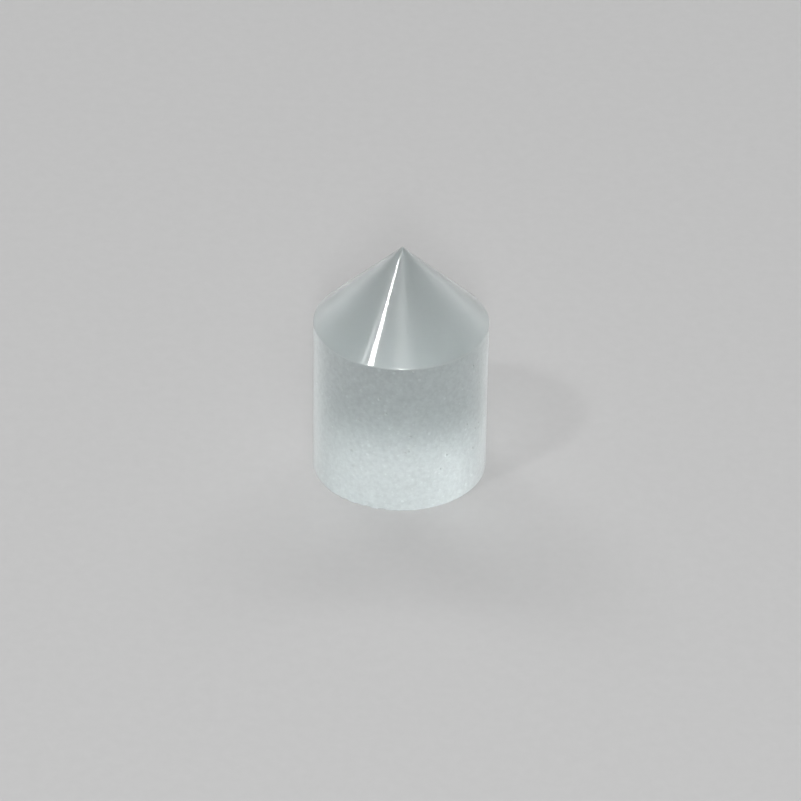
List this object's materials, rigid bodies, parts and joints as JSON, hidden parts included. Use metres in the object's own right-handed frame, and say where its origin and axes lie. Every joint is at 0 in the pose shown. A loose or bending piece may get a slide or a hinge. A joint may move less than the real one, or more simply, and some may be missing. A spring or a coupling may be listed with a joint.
{
  "type": "axicon lens",
  "caption": "Conical lens in clear optical glass: a round rod with a ground wall and a flat base, ending in a polished 90 degree cone with a fine tip.",
  "frame": {"origin": "centre of the flat base, on the lens's axis", "axes": "+Z along the axis from the base to the tip; -Y is the front, the side that the picture looks at"},
  "size_m": [0.01, 0.01, 0.0147],
  "materials": {
    "optical_glass": "polished cone and base, fine-ground matt wall"
  },
  "bodies": {
    "root": {"axicon_lens": "optical_glass"}
  },
  "joints": []
}
